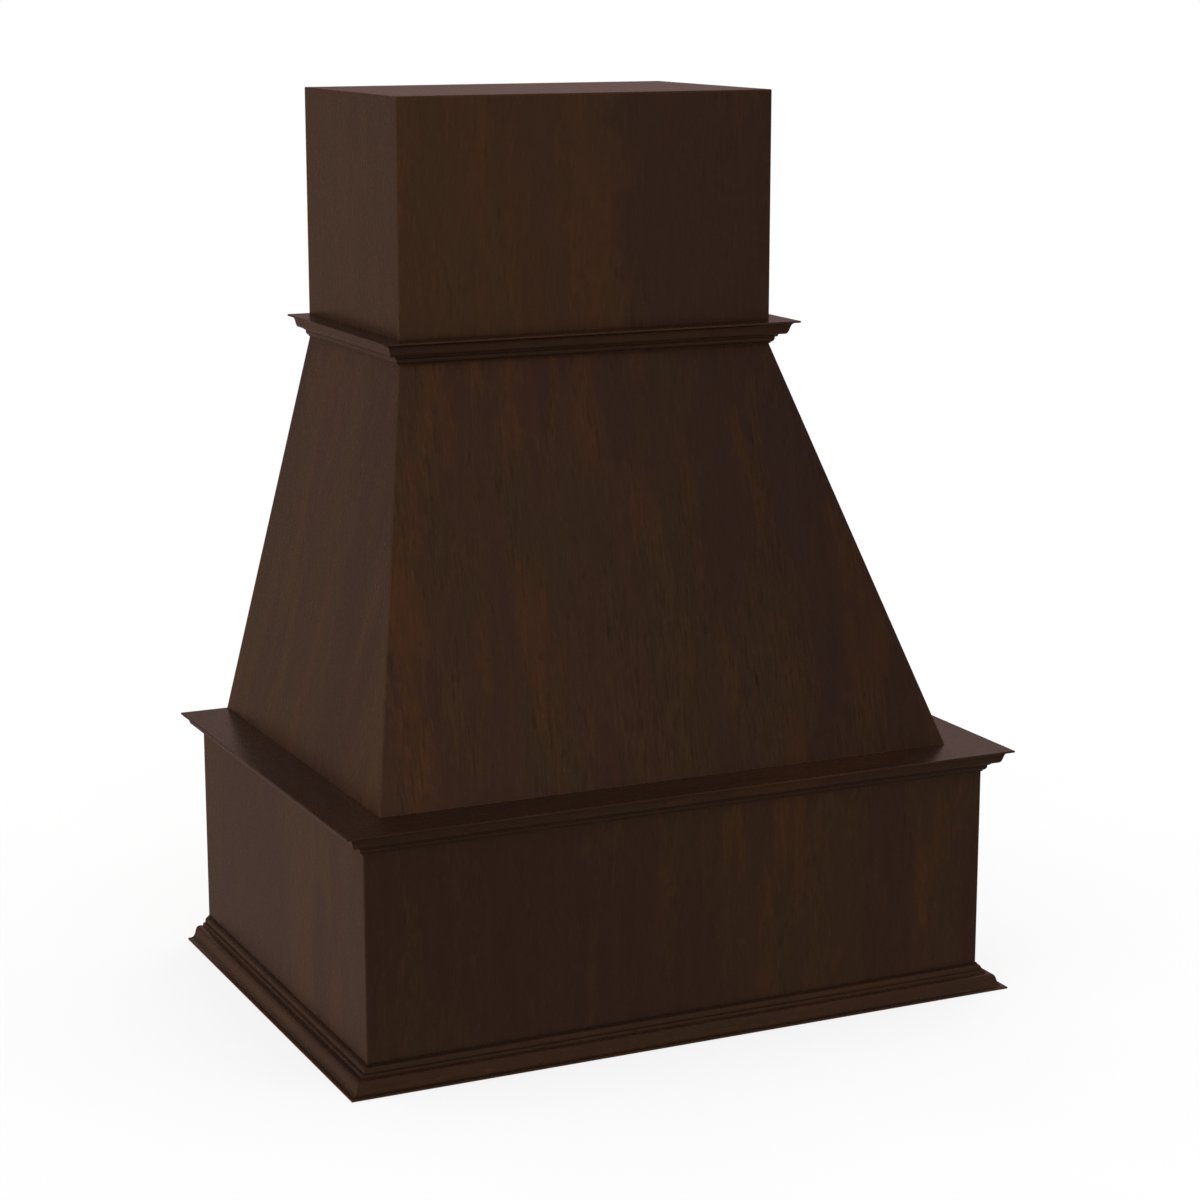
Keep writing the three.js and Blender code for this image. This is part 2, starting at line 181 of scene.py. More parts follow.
# ================================================================ materials
def stained_wood(name, bands=1.0, deep=1.0, pores=0.10, lines=(250.0, 45.0), figure=1.0, warmth=0.8, gold=1.0, ragged=1.0, leaf=None, glows=(), across="X"):
    """Espresso stain under a satin coat. Reads the point attributes grain (across, depth, along),
    place (where the point is in the part), both in metres, wear (1 on an edge), the stain (lighter
    or darker stain, with painted shade in creases and painted light across some sheets added in) and
    open (how open the grain is). lines are the grain lines per metre, across and along; figure,
    warmth and gold are how strongly all, the warm and the yellow patches show, ragged how torn their
    edges are. leaf is the x of a join between a light and a dark leaf of veneer; glows are warmer or,
    below 0, duller places: (x or y, height, half width, half height, amount)."""
    m, n = material(name)
    grain = n.attribute("grain", "Vector")
    wear = n.attribute("wear", "Fac")
    stain_and_painted_light = n.attribute("stain_and_painted_light", "Fac")
    openness = n.attribute("open", "Fac")

    def centred(value, amount):
        return n.math("MULTIPLY", n.math("SUBTRACT", value, 0.5), amount)

    # The fibres wander, slowly, then finely, then in small wriggles.
    slow = n.noise(grain, (4.5, 4.5, 1.3), 2.0, 0.5, colour=True)
    slow = n.vector("MULTIPLY", n.vector("SUBTRACT", slow, (0.5, 0.5, 0.5)), (0.03, 0.03, 0.0))
    fine = n.noise(grain, (40.0, 40.0, 14.0), 2.0, 0.5, colour=True)
    fine = n.vector("MULTIPLY", n.vector("SUBTRACT", fine, (0.5, 0.5, 0.5)), (0.005, 0.005, 0.0))
    at = n.vector("ADD", n.vector("ADD", grain, slow), fine)
    small = n.noise(grain, (90.0, 90.0, 60.0), 1.0, 0.5, colour=True)
    small = n.vector("MULTIPLY", n.vector("SUBTRACT", small, (0.5, 0.5, 0.5)), (0.0026, 0.0026, 0.004))
    near_at = n.vector("ADD", at, small)

    # Stain takes unevenly, in long ragged patches: warm where the wood is open, dull where it is dense.
    patch = n.noise(at, (18.0, 18.0, 3.6), 2.0, 0.5)
    second = n.noise(n.vector("ADD", at, (7.3, 2.9, 1.3)), (12.0, 12.0, 2.8), 2.0, 0.5)
    third = n.noise(n.vector("ADD", at, (3.7, 1.9, 5.3)), (25.0, 25.0, 5.0), 2.0, 0.5)
    mottle = n.noise(at, (76.0, 76.0, 36.0), 4.0, 0.65)
    streak = n.noise(at, (190.0, 190.0, 11.0), 3.0, 0.6)
    rag = n.math("ADD", centred(mottle, 0.36 * ragged), centred(streak, 0.28 * ragged))
    pull = None
    if glows or leaf is not None:
        place = n.add("ShaderNodeSeparateXYZ")
        n.put(place.inputs[0], n.attribute("place", "Vector"))
        px, pz = place.outputs[across], place.outputs["Z"]
    for gx, gz, rx, rz, amount in glows:
        dx = n.math("MULTIPLY", n.math("SUBTRACT", px, gx), 1.0 / rx)
        dz = n.math("MULTIPLY", n.math("SUBTRACT", pz, gz), 1.0 / rz)
        away = n.math("SQRT", n.math("ADD", n.math("MULTIPLY", dx, dx), n.math("MULTIPLY", dz, dz)))
        glow = n.math("MULTIPLY", n.span(away, 1.35, 0.25), amount)
        pull = glow if pull is None else n.math("ADD", pull, glow)
    warm_at = n.math("ADD", patch, rag)
    if pull is not None:
        warm_at = n.math("ADD", warm_at, pull)
    warm = n.span(warm_at, 0.52, 0.63)
    yellow_at = n.math("ADD", third, rag)
    if pull is not None:
        yellow_at = n.math("ADD", yellow_at, n.math("MULTIPLY", pull, 0.8))
    yellow = n.span(yellow_at, 0.54, 0.65)
    olive = n.span(n.math("SUBTRACT", second, rag), 0.52, 0.64)
    dull_at = n.math("ADD", n.math("ADD", second, centred(third, 0.6)), centred(mottle, 0.25))
    if pull is not None:
        dull_at = n.math("ADD", dull_at, pull)
    dull = n.span(dull_at, 0.47, 0.38)

    # Growth bands, grain lines, fibres and pores. Dense wood shows few lines.
    band = n.noise(at, (70.0, 70.0, 7.0), 4.0, 0.6)
    line = n.noise(near_at, (lines[0], lines[0], lines[1]), 3.0, 0.6)
    fibre = n.noise(near_at, (1500.0, 1500.0, 80.0), 2.0, 0.6)
    pore = n.span(n.noise(near_at, (1100.0, 1100.0, 110.0), 1.0, 0.5), 0.60, 0.68)
    pore = n.math("MULTIPLY", pore, n.span(band, 0.45, 0.60))
    lined = n.span(n.math("ADD", third, centred(band, 0.5)), 0.42, 0.60, 0.35, 1.35)
    lined = n.math("MULTIPLY", lined, n.math("SUBTRACT", 1.0, n.math("MULTIPLY", dull, 0.6)))
    lined = n.math("MULTIPLY", lined, openness)

    mid = rgb(0.0640, 0.0298, 0.0157)
    colour = n.mix(n.math("MULTIPLY", warm, warmth), mid, rgb(0.0860, 0.0345, 0.0140))
    colour = n.mix(n.math("MULTIPLY", yellow, 0.45 * figure * gold), colour, rgb(0.0760, 0.0385, 0.0122))
    colour = n.mix(n.math("MULTIPLY", olive, 0.55 * figure), colour, rgb(0.0540, 0.0322, 0.0137))
    colour = n.mix(n.math("MULTIPLY", dull, 0.60 * figure), colour, rgb(0.0520, 0.0238, 0.0168))
    if leaf is not None:
        edge = n.math("ADD", n.math("SUBTRACT", px, leaf), centred(mottle, 0.06))
        edge = n.math("ADD", edge, centred(n.noise(grain, (9.0, 9.0, 14.0), 2.0, 0.5), 0.11))
        far = n.span(edge, -0.006, 0.010)
        colour = n.mix(n.math("MULTIPLY", far, 0.55), colour, rgb(0.0510, 0.0245, 0.0158))
        colour = n.mix(n.math("MULTIPLY", n.span(edge, 0.004, -0.012), 0.30), colour, rgb(0.0830, 0.0378, 0.0162))

    # The lines are dark on an even ground, hardly ever light.
    drawn = n.math("MINIMUM", n.math("MULTIPLY", centred(line, 0.95), lined), 0.05)
    tone = n.math("ADD", centred(band, 0.30 * bands), drawn)
    tone = n.math("ADD", tone, n.math("MULTIPLY", centred(fibre, 0.45), lined))
    # Short flecks, some dark, some light.
    dark_fleck = n.span(n.noise(near_at, (210.0, 210.0, 48.0), 1.0, 0.5), 0.67, 0.75)
    light_fleck = n.span(n.noise(near_at, (260.0, 260.0, 34.0), 1.0, 0.5), 0.30, 0.22)
    flecks = n.math("SUBTRACT", n.math("MULTIPLY", light_fleck, 0.04), n.math("MULTIPLY", dark_fleck, 0.15))
    tone = n.math("ADD", tone, n.math("MULTIPLY", flecks, openness))
    tone = n.math("ADD", tone, 1.015)
    tone = n.math("SUBTRACT", tone, n.math("MULTIPLY", pore, pores))
    # The stain scales the colour; it also carries painted shade in creases and painted light across some sheets.
    tone = n.math("MULTIPLY", tone, n.math("ADD", stain_and_painted_light, 1.0))
    grey = n.add("ShaderNodeCombineColor")
    for socket in grey.inputs:
        n.put(socket, tone)
    colour = n.mix(1.0, colour, grey.outputs[0], "MULTIPLY")

    # Stain rubbed thin along the edges.
    rubbed = n.noise(grain, (260.0, 260.0, 60.0), 3.0, 0.6)
    thin = n.math("MULTIPLY", n.span(n.math("ADD", wear, centred(rubbed, 0.9)), 0.55, 1.15), 0.42)
    colour = n.mix(thin, colour, rgb(0.115, 0.058, 0.034))

    rough = n.math("ADD", centred(mottle, 0.12), centred(line, 0.12))
    rough = n.math("ADD", rough, 0.26)
    rough = n.math("ADD", rough, n.math("MULTIPLY", pore, 0.10))
    rough = n.math("ADD", rough, n.math("MULTIPLY", thin, 0.10), clamp=True)

    relief = n.math("ADD", n.math("MULTIPLY", line, 0.55), n.math("MULTIPLY", fibre, 0.45))
    relief = n.math("SUBTRACT", relief, n.math("MULTIPLY", pore, 0.9 * pores / 0.2))
    relief = n.math("MULTIPLY", relief, openness)
    normal = n.bump(relief, 0.24 * deep, 0.00012)
    swell = n.noise(at, (24.0, 24.0, 5.0), 2.0, 0.5)
    normal = n.bump(swell, 0.10, 0.0006, normal)
    n.surface(colour, rough, normal, specular=0.5)
    return m


def raw_wood(name, along=(0, 0, 1), shift=(0.0, 0.0, 0.0), tint=1.0):
    """Planed softwood. Rings round a pith beside the batten give end grain and face figure."""
    m, n = material(name)
    here = n.add("ShaderNodeTexCoord").outputs["Object"]
    turn = Vector(along).normalized().rotation_difference(Vector((0, 0, 1))).to_euler()
    mapping = n.add("ShaderNodeMapping", vector_type="POINT")
    n.put(mapping.inputs["Vector"], here)
    mapping.inputs["Rotation"].default_value = turn
    mapping.inputs["Location"].default_value = shift
    at = mapping.outputs["Vector"]
    wander = n.noise(at, (9.0, 9.0, 2.0), 2.0, 0.5, colour=True)
    wander = n.vector("MULTIPLY", n.vector("SUBTRACT", wander, (0.5, 0.5, 0.5)), (0.02, 0.02, 0.0))
    at = n.vector("ADD", at, wander)
    flat = n.vector("MULTIPLY", at, (1.0, 1.0, 0.0))
    radius = n.vector("LENGTH", n.vector("ADD", flat, (0.061, 0.047, 0.0)))
    phase = n.math("FRACT", n.math("MULTIPLY", radius, 360.0))
    late = n.math("MULTIPLY", n.span(phase, 0.45, 0.92), n.span(phase, 1.0, 0.93))
    streak = n.noise(at, (700.0, 700.0, 14.0), 3.0, 0.6)
    broad = n.noise(at, (30.0, 30.0, 4.0), 3.0, 0.5)
    light = rgb(0.66 * tint, 0.475 * tint, 0.275 * tint)
    brown = rgb(0.43 * tint, 0.255 * tint, 0.115 * tint)
    colour = n.mix(n.math("MULTIPLY", late, 0.6), light, brown)
    tone = n.math("ADD", n.math("MULTIPLY", streak, 0.35), n.math("MULTIPLY", broad, 0.35))
    tone = n.math("ADD", tone, 0.65)
    grey = n.add("ShaderNodeCombineColor")
    for socket in grey.inputs:
        n.put(socket, tone)
    colour = n.mix(1.0, colour, grey.outputs[0], "MULTIPLY")
    rough = n.math("ADD", n.math("MULTIPLY", streak, 0.2), 0.58)
    relief = n.math("ADD", streak, n.math("MULTIPLY", late, 0.4))
    n.surface(colour, rough, n.bump(relief, 0.3, 0.0002), specular=0.35)
    return m


def ply_face(name):
    """The unfinished inner face of the plywood, a pale rotary-cut veneer."""
    m, n = material(name)
    grain = n.attribute("grain", "Vector")
    slow = n.noise(grain, (5.0, 5.0, 1.5), 2.0, 0.5, colour=True)
    slow = n.vector("MULTIPLY", n.vector("SUBTRACT", slow, (0.5, 0.5, 0.5)), (0.07, 0.07, 0.0))
    at = n.vector("ADD", grain, slow)
    figure = n.noise(at, (45.0, 45.0, 3.2), 5.0, 0.55, 0.4)
    rings = n.math("FRACT", n.math("MULTIPLY", figure, 7.0))
    rings = n.math("MULTIPLY", n.span(rings, 0.2, 0.8), n.span(rings, 1.0, 0.86))
    fibre = n.noise(at, (1100.0, 1100.0, 30.0), 2.0, 0.6)
    colour = n.mix(n.math("MULTIPLY", rings, 0.42), rgb(0.60, 0.43, 0.26), rgb(0.43, 0.275, 0.145))
    tone = n.math("ADD", n.math("MULTIPLY", fibre, 0.4), 0.8)
    grey = n.add("ShaderNodeCombineColor")
    for socket in grey.inputs:
        n.put(socket, tone)
    colour = n.mix(1.0, colour, grey.outputs[0], "MULTIPLY")
    rough = n.math("ADD", n.math("MULTIPLY", fibre, 0.2), 0.55)
    n.surface(colour, rough, n.bump(fibre, 0.25, 0.00015), specular=0.35)
    return m


def ply_edge(name):
    """Cut edge of the plywood: seven plies, every other one end grain, with dark glue lines."""
    m, n = material(name)
    grain = n.attribute("grain", "Vector")
    split = n.add("ShaderNodeSeparateXYZ")
    n.put(split.inputs[0], grain)
    wobble = n.math("MULTIPLY", n.noise(grain, (30.0, 0.0, 30.0), 2.0, 0.5), 0.0006)
    ply = n.math("MULTIPLY", n.math("ADD", split.outputs["Y"], wobble), 1.0 / 0.0018143)
    odd = n.math("GREATER_THAN", n.math("PINGPONG", n.math("FLOOR", ply), 1.0), 0.5)
    within = n.math("FRACT", ply)
    glue = n.math("ADD", n.span(within, 0.10, 0.02), n.span(within, 0.92, 0.99), clamp=True)
    dots = n.noise(grain, (900.0, 900.0, 900.0), 2.0, 0.6)
    streak = n.noise(grain, (120.0, 2600.0, 120.0), 2.0, 0.6)
    long_grain = n.mix(streak, rgb(0.62, 0.45, 0.27), rgb(0.47, 0.31, 0.17))
    end_grain = n.mix(dots, rgb(0.42, 0.27, 0.15), rgb(0.27, 0.16, 0.08))
    colour = n.mix(odd, long_grain, end_grain)
    colour = n.mix(n.math("MULTIPLY", glue, 0.7), colour, rgb(0.16, 0.09, 0.05))
    relief = n.math("SUBTRACT", n.math("ADD", dots, streak), n.math("MULTIPLY", glue, 1.2))
    rough = n.math("ADD", n.math("MULTIPLY", dots, 0.2), 0.62)
    n.surface(colour, rough, n.bump(relief, 0.4, 0.0002), specular=0.3)
    return m


def zinc(name):
    """Yellow-passivated zinc plating, scuffed where the screw was turned in."""
    m, n = material(name)
    here = n.add("ShaderNodeTexCoord").outputs["Object"]
    cloud = n.noise(here, (420.0, 420.0, 420.0), 3.0, 0.6)
    scuff = n.noise(here, (2600.0, 1500.0, 2600.0), 2.0, 0.7)
    colour = n.mix(cloud, rgb(0.62, 0.60, 0.52), rgb(0.66, 0.53, 0.28))
    colour = n.mix(n.span(scuff, 0.56, 0.72), colour, rgb(0.36, 0.34, 0.31))
    rough = n.math("ADD", n.math("MULTIPLY", cloud, 0.25), 0.22)
    n.surface(colour, rough, n.bump(scuff, 0.25, 0.00006), metallic=0.95)
    return m


SKIN = stained_wood("stained_veneer", lines=(180.0, 40.0), figure=0.55, warmth=0.4)
SIDES = {
    "apron": stained_wood(
        "stained_veneer_apron_side", lines=(180.0, 40.0), figure=1.0, warmth=0.8, ragged=0.35, across="Y",
        glows=(
            (-0.060, 0.14, 0.038, 0.24, 0.18), (-0.190, 0.14, 0.09, 0.40, 0.05), (0.18, 0.14, 0.13, 0.40, -0.14),
            (0.05, 0.18, 0.05, 0.20, -0.09),
        ),
    ),
    "canopy": stained_wood(
        "stained_veneer_canopy_side", lines=(180.0, 40.0), figure=1.0, warmth=0.7, ragged=0.35, across="Y",
        glows=(
            (-0.03, 0.50, 0.055, 0.18, -0.18), (0.18, 0.56, 0.06, 0.20, 0.12), (-0.20, 0.33, 0.03, 0.06, 0.14),
            (-0.12, 0.56, 0.03, 0.22, 0.05), (0.22, 0.72, 0.08, 0.07, 0.09),
        ),
    ),
    "chimney": SKIN,
}
FACES = {
    "apron": stained_wood(
        "stained_veneer_apron",
        figure=0.75,
        warmth=1.0,
        glows=(
            (0.095, 0.165, 0.065, 0.20, 0.16), (0.180, 0.150, 0.040, 0.18, 0.13), (0.325, 0.170, 0.022, 0.09, 0.16),
            (-0.21, 0.14, 0.34, 0.6, -0.15), (0.260, 0.12, 0.035, 0.3, -0.16), (0.385, 0.12, 0.035, 0.3, -0.12),
        ),
    ),
    "canopy": stained_wood(
        "stained_veneer_canopy",
        lines=(400.0, 26.0),
        figure=0.95,
        warmth=0.9,
        gold=0.6,
        ragged=0.65,
        glows=(
            (-0.017, 0.60, 0.026, 0.15, 0.13), (-0.225, 0.54, 0.075, 0.24, 0.03), (0.166, 0.415, 0.036, 0.10, 0.15),
            (0.165, 0.67, 0.018, 0.07, 0.12), (0.285, 0.43, 0.035, 0.13, 0.12), (0.06, 0.52, 0.10, 0.10, -0.08),
            (-0.185, 0.69, 0.065, 0.11, 0.05), (0.19, 0.58, 0.07, 0.12, -0.07),
        ),
    ),
    "chimney": stained_wood(
        "stained_veneer_chimney",
        figure=0.38,
        warmth=0.65,
        leaf=0.036,
        glows=((-0.135, 0.91, 0.060, 0.15, 0.12), (0.005, 0.92, 0.020, 0.17, 0.16), (0.16, 0.92, 0.14, 0.25, -0.12)),
    ),
}
SOLID = stained_wood("stained_solid", bands=0.9, deep=0.8, pores=0.04, lines=(380.0, 36.0), figure=0.6, warmth=0.5)
# The front ledge has a painted warm reflection on its top, in front of the right half of the canopy, and two duller
# stretches.
LEDGE = stained_wood(
    "stained_solid_ledge_painted_reflection", bands=0.9, deep=0.8, pores=0.04, lines=(380.0, 36.0), figure=0.6, warmth=1.0, gold=0.3,
    glows=((0.14, 0.2985, 0.13, 0.012, 0.17), (-0.25, 0.2985, 0.35, 0.012, -0.10), (0.36, 0.2985, 0.07, 0.012, -0.12)),
)
PLYFACE = ply_face("plywood_inside")
PLYEDGE = ply_edge("plywood_edge")
ZINC = zinc("zinc_plate")


# ================================================================ mesh helpers
def finish_mesh(name, verts, faces, face_mats, mats, wear, grain, nodes, sharp=32.0, stain_and_painted_light=None, grain_open=1.0):
    """verts in mm, in the frame of the part. grain maps a point in mm to (across, depth, along).
    The stain, a function or one number for each vertex, is how much lighter (+) or darker (-) the stain came
    out there, with painted shade in creases and painted light across some sheets added in. grain_open is how open the
    grain is."""
    bm = bmesh.new()
    made = [bm.verts.new(Vector(v) * MM) for v in verts]
    for f, k in zip(faces, face_mats):
        face = bm.faces.new([made[i] for i in f])
        face.material_index = k
        face.smooth = True
    bmesh.ops.recalc_face_normals(bm, faces=bm.faces)
    me = bpy.data.meshes.new(name)
    bm.to_mesh(me)
    bm.free()
    for m in mats:
        me.materials.append(m)
    at = me.attributes.new("grain", "FLOAT_VECTOR", "POINT")
    at.data.foreach_set("vector", [c * MM for v in verts for c in grain(v)])
    at = me.attributes.new("wear", "FLOAT", "POINT")
    at.data.foreach_set("value", wear)
    at = me.attributes.new("stain_and_painted_light", "FLOAT", "POINT")
    at.data.foreach_set("value", [stain_and_painted_light(v) for v in verts] if callable(stain_and_painted_light) else stain_and_painted_light or [0.0] * len(verts))
    at = me.attributes.new("place", "FLOAT_VECTOR", "POINT")
    at.data.foreach_set("vector", [c * MM for v in verts for c in v])
    at = me.attributes.new("open", "FLOAT", "POINT")
    at.data.foreach_set("value", [grain_open] * len(verts))
    me.set_sharp_from_angle(angle=math.radians(sharp))
    ob = bpy.data.objects.new(name, me)
    bpy.context.scene.collection.objects.link(ob)
    near(ob, nodes)
    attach(ob, "root")
    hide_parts(*nodes)
    return ob


def near(ob, nodes, slack=0.0007):
    """Stops the script if a piece isn't where its nodes are."""
    xs = [[(ob.matrix_world @ v.co)[i] for v in ob.data.vertices] for i in range(3)]
    boxes = [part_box(n) for n in nodes]
    for i in range(3):
        lo = min(b[0][i] for b in boxes)
        hi = max(b[1][i] for b in boxes)
        if abs(min(xs[i]) - lo) > slack or abs(max(xs[i]) - hi) > slack:
            raise ValueError(f"{ob.name} axis {i}: {min(xs[i])}..{max(xs[i])} is not {lo}..{hi}")


def loft(rings, segments, caps):
    """Quads between rings of the same length. segments[i] is the material between points i and i+1
    of a ring, caps the materials of the two ends."""
    n = len(rings[0])
    verts = [p for ring in rings for p in ring]
    faces, mats = [], []
    for k in range(len(rings) - 1):
        for i in range(n):
            j = (i + 1) % n
            faces.append([k * n + i, k * n + j, (k + 1) * n + j, (k + 1) * n + i])
            mats.append(segments[i])
    faces.append(list(range(n)))
    mats.append(caps[0])
    faces.append([(len(rings) - 1) * n + i for i in range(n)])
    mats.append(caps[1])
    return verts, faces, mats


# ---------------------------------------------------------------- plywood skins
EASE = 0.9  # radius on an outer corner
KEEP = 3.2  # how far the rubbed band of an edge reaches


def ladder(z0, z1, low, high, between=()):
    """Heights of the rings, with how far the outside is drawn in there and how worn it is."""

    def turned(radius, k):
        a = math.radians(30 * k)
        return radius * (1 - math.cos(a)), radius * (1 - math.sin(a))

    rows = [(z0, low, 0.6)]
    rows += [(z0 + turned(low, k)[0], turned(low, k)[1], 1.0) for k in (1, 2, 3)]
    rows.append((z0 + KEEP + low, 0.0, 0.0))
    rows += [(z, 0.0, 0.0) for z in sorted(between) if z0 + KEEP + low + 0.5 < z < z1 - KEEP - high - 0.5]
    rows.append((z1 - KEEP - high, 0.0, 0.0))
    rows += [(z1 - turned(high, k)[0], turned(high, k)[1], 1.0) for k in (3, 2, 1)]
    rows.append((z1, high, 0.6))
    return rows


def skin(name, which, half, deep, t_side, t_front, z0, z1, low, high, top_cap, nodes, offset, between, outer, stain_and_painted_light, grain_open):
    """One of the three skins of a box or of the canopy. half(z) and deep(z) give the outside."""
    rings, wear = [], []
    arc = [math.radians(a) for a in (45, 22.5, 0)]
    for z, pull, row_wear in ladder(z0, z1, low, high, between):
        hw, d = half(z) - pull, deep(z) - pull
        hi, di = half(z) - t_side, deep(z) - t_front
        ring, worn = [], []
        if which == "front":
            for s, angles in ((-1, arc), (1, arc[::-1])):
                pts = [(s * (hw - EASE + EASE * math.sin(a)), d - EASE + EASE * math.cos(a), 1.0) for a in angles]
                inner = (s * (hw - EASE - KEEP), d, 0.0)
                pts = pts + [inner] if s < 0 else [inner] + pts
                for x, v, w in pts:
                    ring.append((x, WALL - v, z))
                    worn.append(max(w, row_wear if w == 0 else w))
            ring += [(hi, WALL - di, z), (-hi, WALL - di, z)]
            worn += [0.2, 0.2]
        else:
            s = -1 if which == "left" else 1
            for a in arc:
                ring.append((s * (hw - EASE + EASE * math.cos(a)), WALL - (d - EASE + EASE * math.sin(a)), z))
                worn.append(1.0)
            for y, w in ((WALL - d + EASE + KEEP, 0.0), (WALL - 0.5 - KEEP, 0.0), (WALL - 0.5, 1.0)):
                ring.append((s * hw, y, z))
                worn.append(max(w, row_wear))
            ring += [(s * (hw - 0.5), WALL, z), (s * hi, WALL, z), (s * hi, WALL - di, z)]
            worn += [1.0, 0.2, 0.2]
        rings.append(ring)
        wear += worn
    if which == "front":
        segments = [0] * 7 + [2, 1, 2]
    else:
        segments = [0] * 6 + [2, 1, 2]
    verts, faces, mats = loft(rings, segments, (2, top_cap))
    run_f = (deep(z0) - deep(z1)) / (z1 - z0)
    run_s = (half(z0) - half(z1)) / (z1 - z0)
    if which == "front":
        slope = math.atan(run_f)

        # The veneer of the sloping front runs a few degrees off the middle of the panel.
        lean = math.radians(6.0 if slope else 0.0)

        def grain(p):
            v = p[1] - (WALL - deep(z0))
            along = (p[2] - z0) * math.cos(slope) + v * math.sin(slope)
            depth = v * math.cos(slope) - (p[2] - z0) * math.sin(slope)
            x = p[0] * math.cos(lean) - along * math.sin(lean)
            return (x + offset[0], depth, along * math.cos(lean) + p[0] * math.sin(lean) + offset[1])

    else:
        slope = math.atan(run_s)
        s = -1 if which == "left" else 1

        def grain(p):
            v = half(z0) - s * p[0]
            along = (p[2] - z0) * math.cos(slope) + v * math.sin(slope)
            depth = v * math.cos(slope) - (p[2] - z0) * math.sin(slope)
            return (p[1] + offset[0], depth, along + offset[1])

    return finish_mesh(
        name, verts, faces, mats, [outer, PLYFACE, PLYEDGE], wear, grain, nodes, 40.0, stain_and_painted_light, grain_open
    )


def constant(value):
    return lambda z: value


def light_across_sheet(base, left, right, half):
    """Painted light: the colour of a sheet runs from left to right between two levels, in place of the reflection that
    falls across it; base makes the whole sheet lighter or darker.
    """
    return lambda p: base + (right - left) * p[0] / (2 * half) + (left + right) / 2


def painted_seam_shade(*lines):
    """Painted shade, darkening the sheet towards where a moulding or board meets it: (height, side it
    reaches to, amount, reach). Returns the painted shade by place and the heights that need a ring."""
    heights = [z + up * reach * k for z, up, much, reach in lines for k in (0.0, 0.5, 1.1, 2.0, 3.4)]

    def stain_and_painted_light(p):
        total = 0.0
        for z, up, much, reach in lines:
            away = (p[2] - z) * up
            if away > -0.01:
                total -= much * (math.exp(-away / reach) - math.exp(-3.4)) if away < 3.4 * reach else 0.0
        return total

    return stain_and_painted_light, heights


def both(a, b):
    return lambda p: a(p) + b(p)


BASE_TOP = MOULD_HIGH
LEDGE_FOOT = LEDGE_TOP - MOULD_HIGH
COLLAR_TOP = NECK_Z + MOULD_HIGH
# Painted shade on the sheets next to the base, ledge and collar mouldings, and the heights of the rings it needs.
PAINTED_CONTACT_SHADE, NEAR = {}, {}
for part, lines in (
    ("apron", ((BASE_TOP, 1, 0.40, 2.2), (LEDGE_FOOT, -1, 0.08, 5.0))),
    ("chimney", ((COLLAR_TOP, 1, 0.30, 4.0),)),
    ("canopy", ((LEDGE_TOP, 1, 0.12, 5.0), (NECK_Z, -1, 0.10, 6.0))),
):
    PAINTED_CONTACT_SHADE[part], NEAR[part] = painted_seam_shade(*lines)

# Painted light across each front sheet: (whole sheet, left side, right side, half width).
PAINTED_LIGHT_ACROSS = {
    "apron": light_across_sheet(-0.07, -0.02, 0.02, BOX_HALF),
    "chimney": light_across_sheet(0.09, 0.14, -0.06, STACK_HALF),
    "canopy": light_across_sheet(-0.07, 0.31, -0.27, FOOT_HALF),
}
OPEN = {"apron": 0.80, "chimney": 0.75, "canopy": 1.55}
for k, which in enumerate(("front", "left", "right")):
    # Outer material, painted shade at the joins with painted light across the fronts, and openness of the grain of
    # each sheet.
    look = {
        part: (FACES[part], both(PAINTED_LIGHT_ACROSS[part], PAINTED_CONTACT_SHADE[part]), OPEN[part])
        if which == "front"
        else (SIDES[part], PAINTED_CONTACT_SHADE[part], 0.28)
        for part in PAINTED_LIGHT_ACROSS
    }
    skin(
        f"apron_{which}_skin", which, constant(BOX_HALF), constant(BOX_DEEP), PLY, PLY,
        0.0, LEDGE_TOP - PLY - 0.3, 0.4, 0.3, 2, [f"apron_{which}_panel"], (1371.0 * k + 210.0, 517.0 * k), NEAR["apron"], *look["apron"],
    )
    skin(
        f"chimney_{which}_skin", which, constant(STACK_HALF), constant(STACK_DEEP), PLY, PLY,
        NECK_Z + 0.15, TOP_Z, 0.2, 0.9, 0, [f"chimney_panel_{which}"], (977.0 * k + 5210.0, 733.0 * k + 900.0),
        NEAR["chimney"], *look["chimney"],
    )
    skin(
        f"canopy_{which}_skin", which,
        lambda z: FOOT_HALF - SIDE_RUN * (z - LEDGE_TOP),
        lambda z: FOOT_DEEP - FRONT_RUN * (z - LEDGE_TOP),
        SIDE_THICK, FRONT_THICK, LEDGE_TOP + 0.1, NECK_Z - 0.15, 0.25, 0.2, 2,
        [f"canopy_{which}_panel"], (1117.0 * k + 9120.0, 641.0 * k + 2100.0),
        NEAR["canopy"], *look["canopy"],
    )


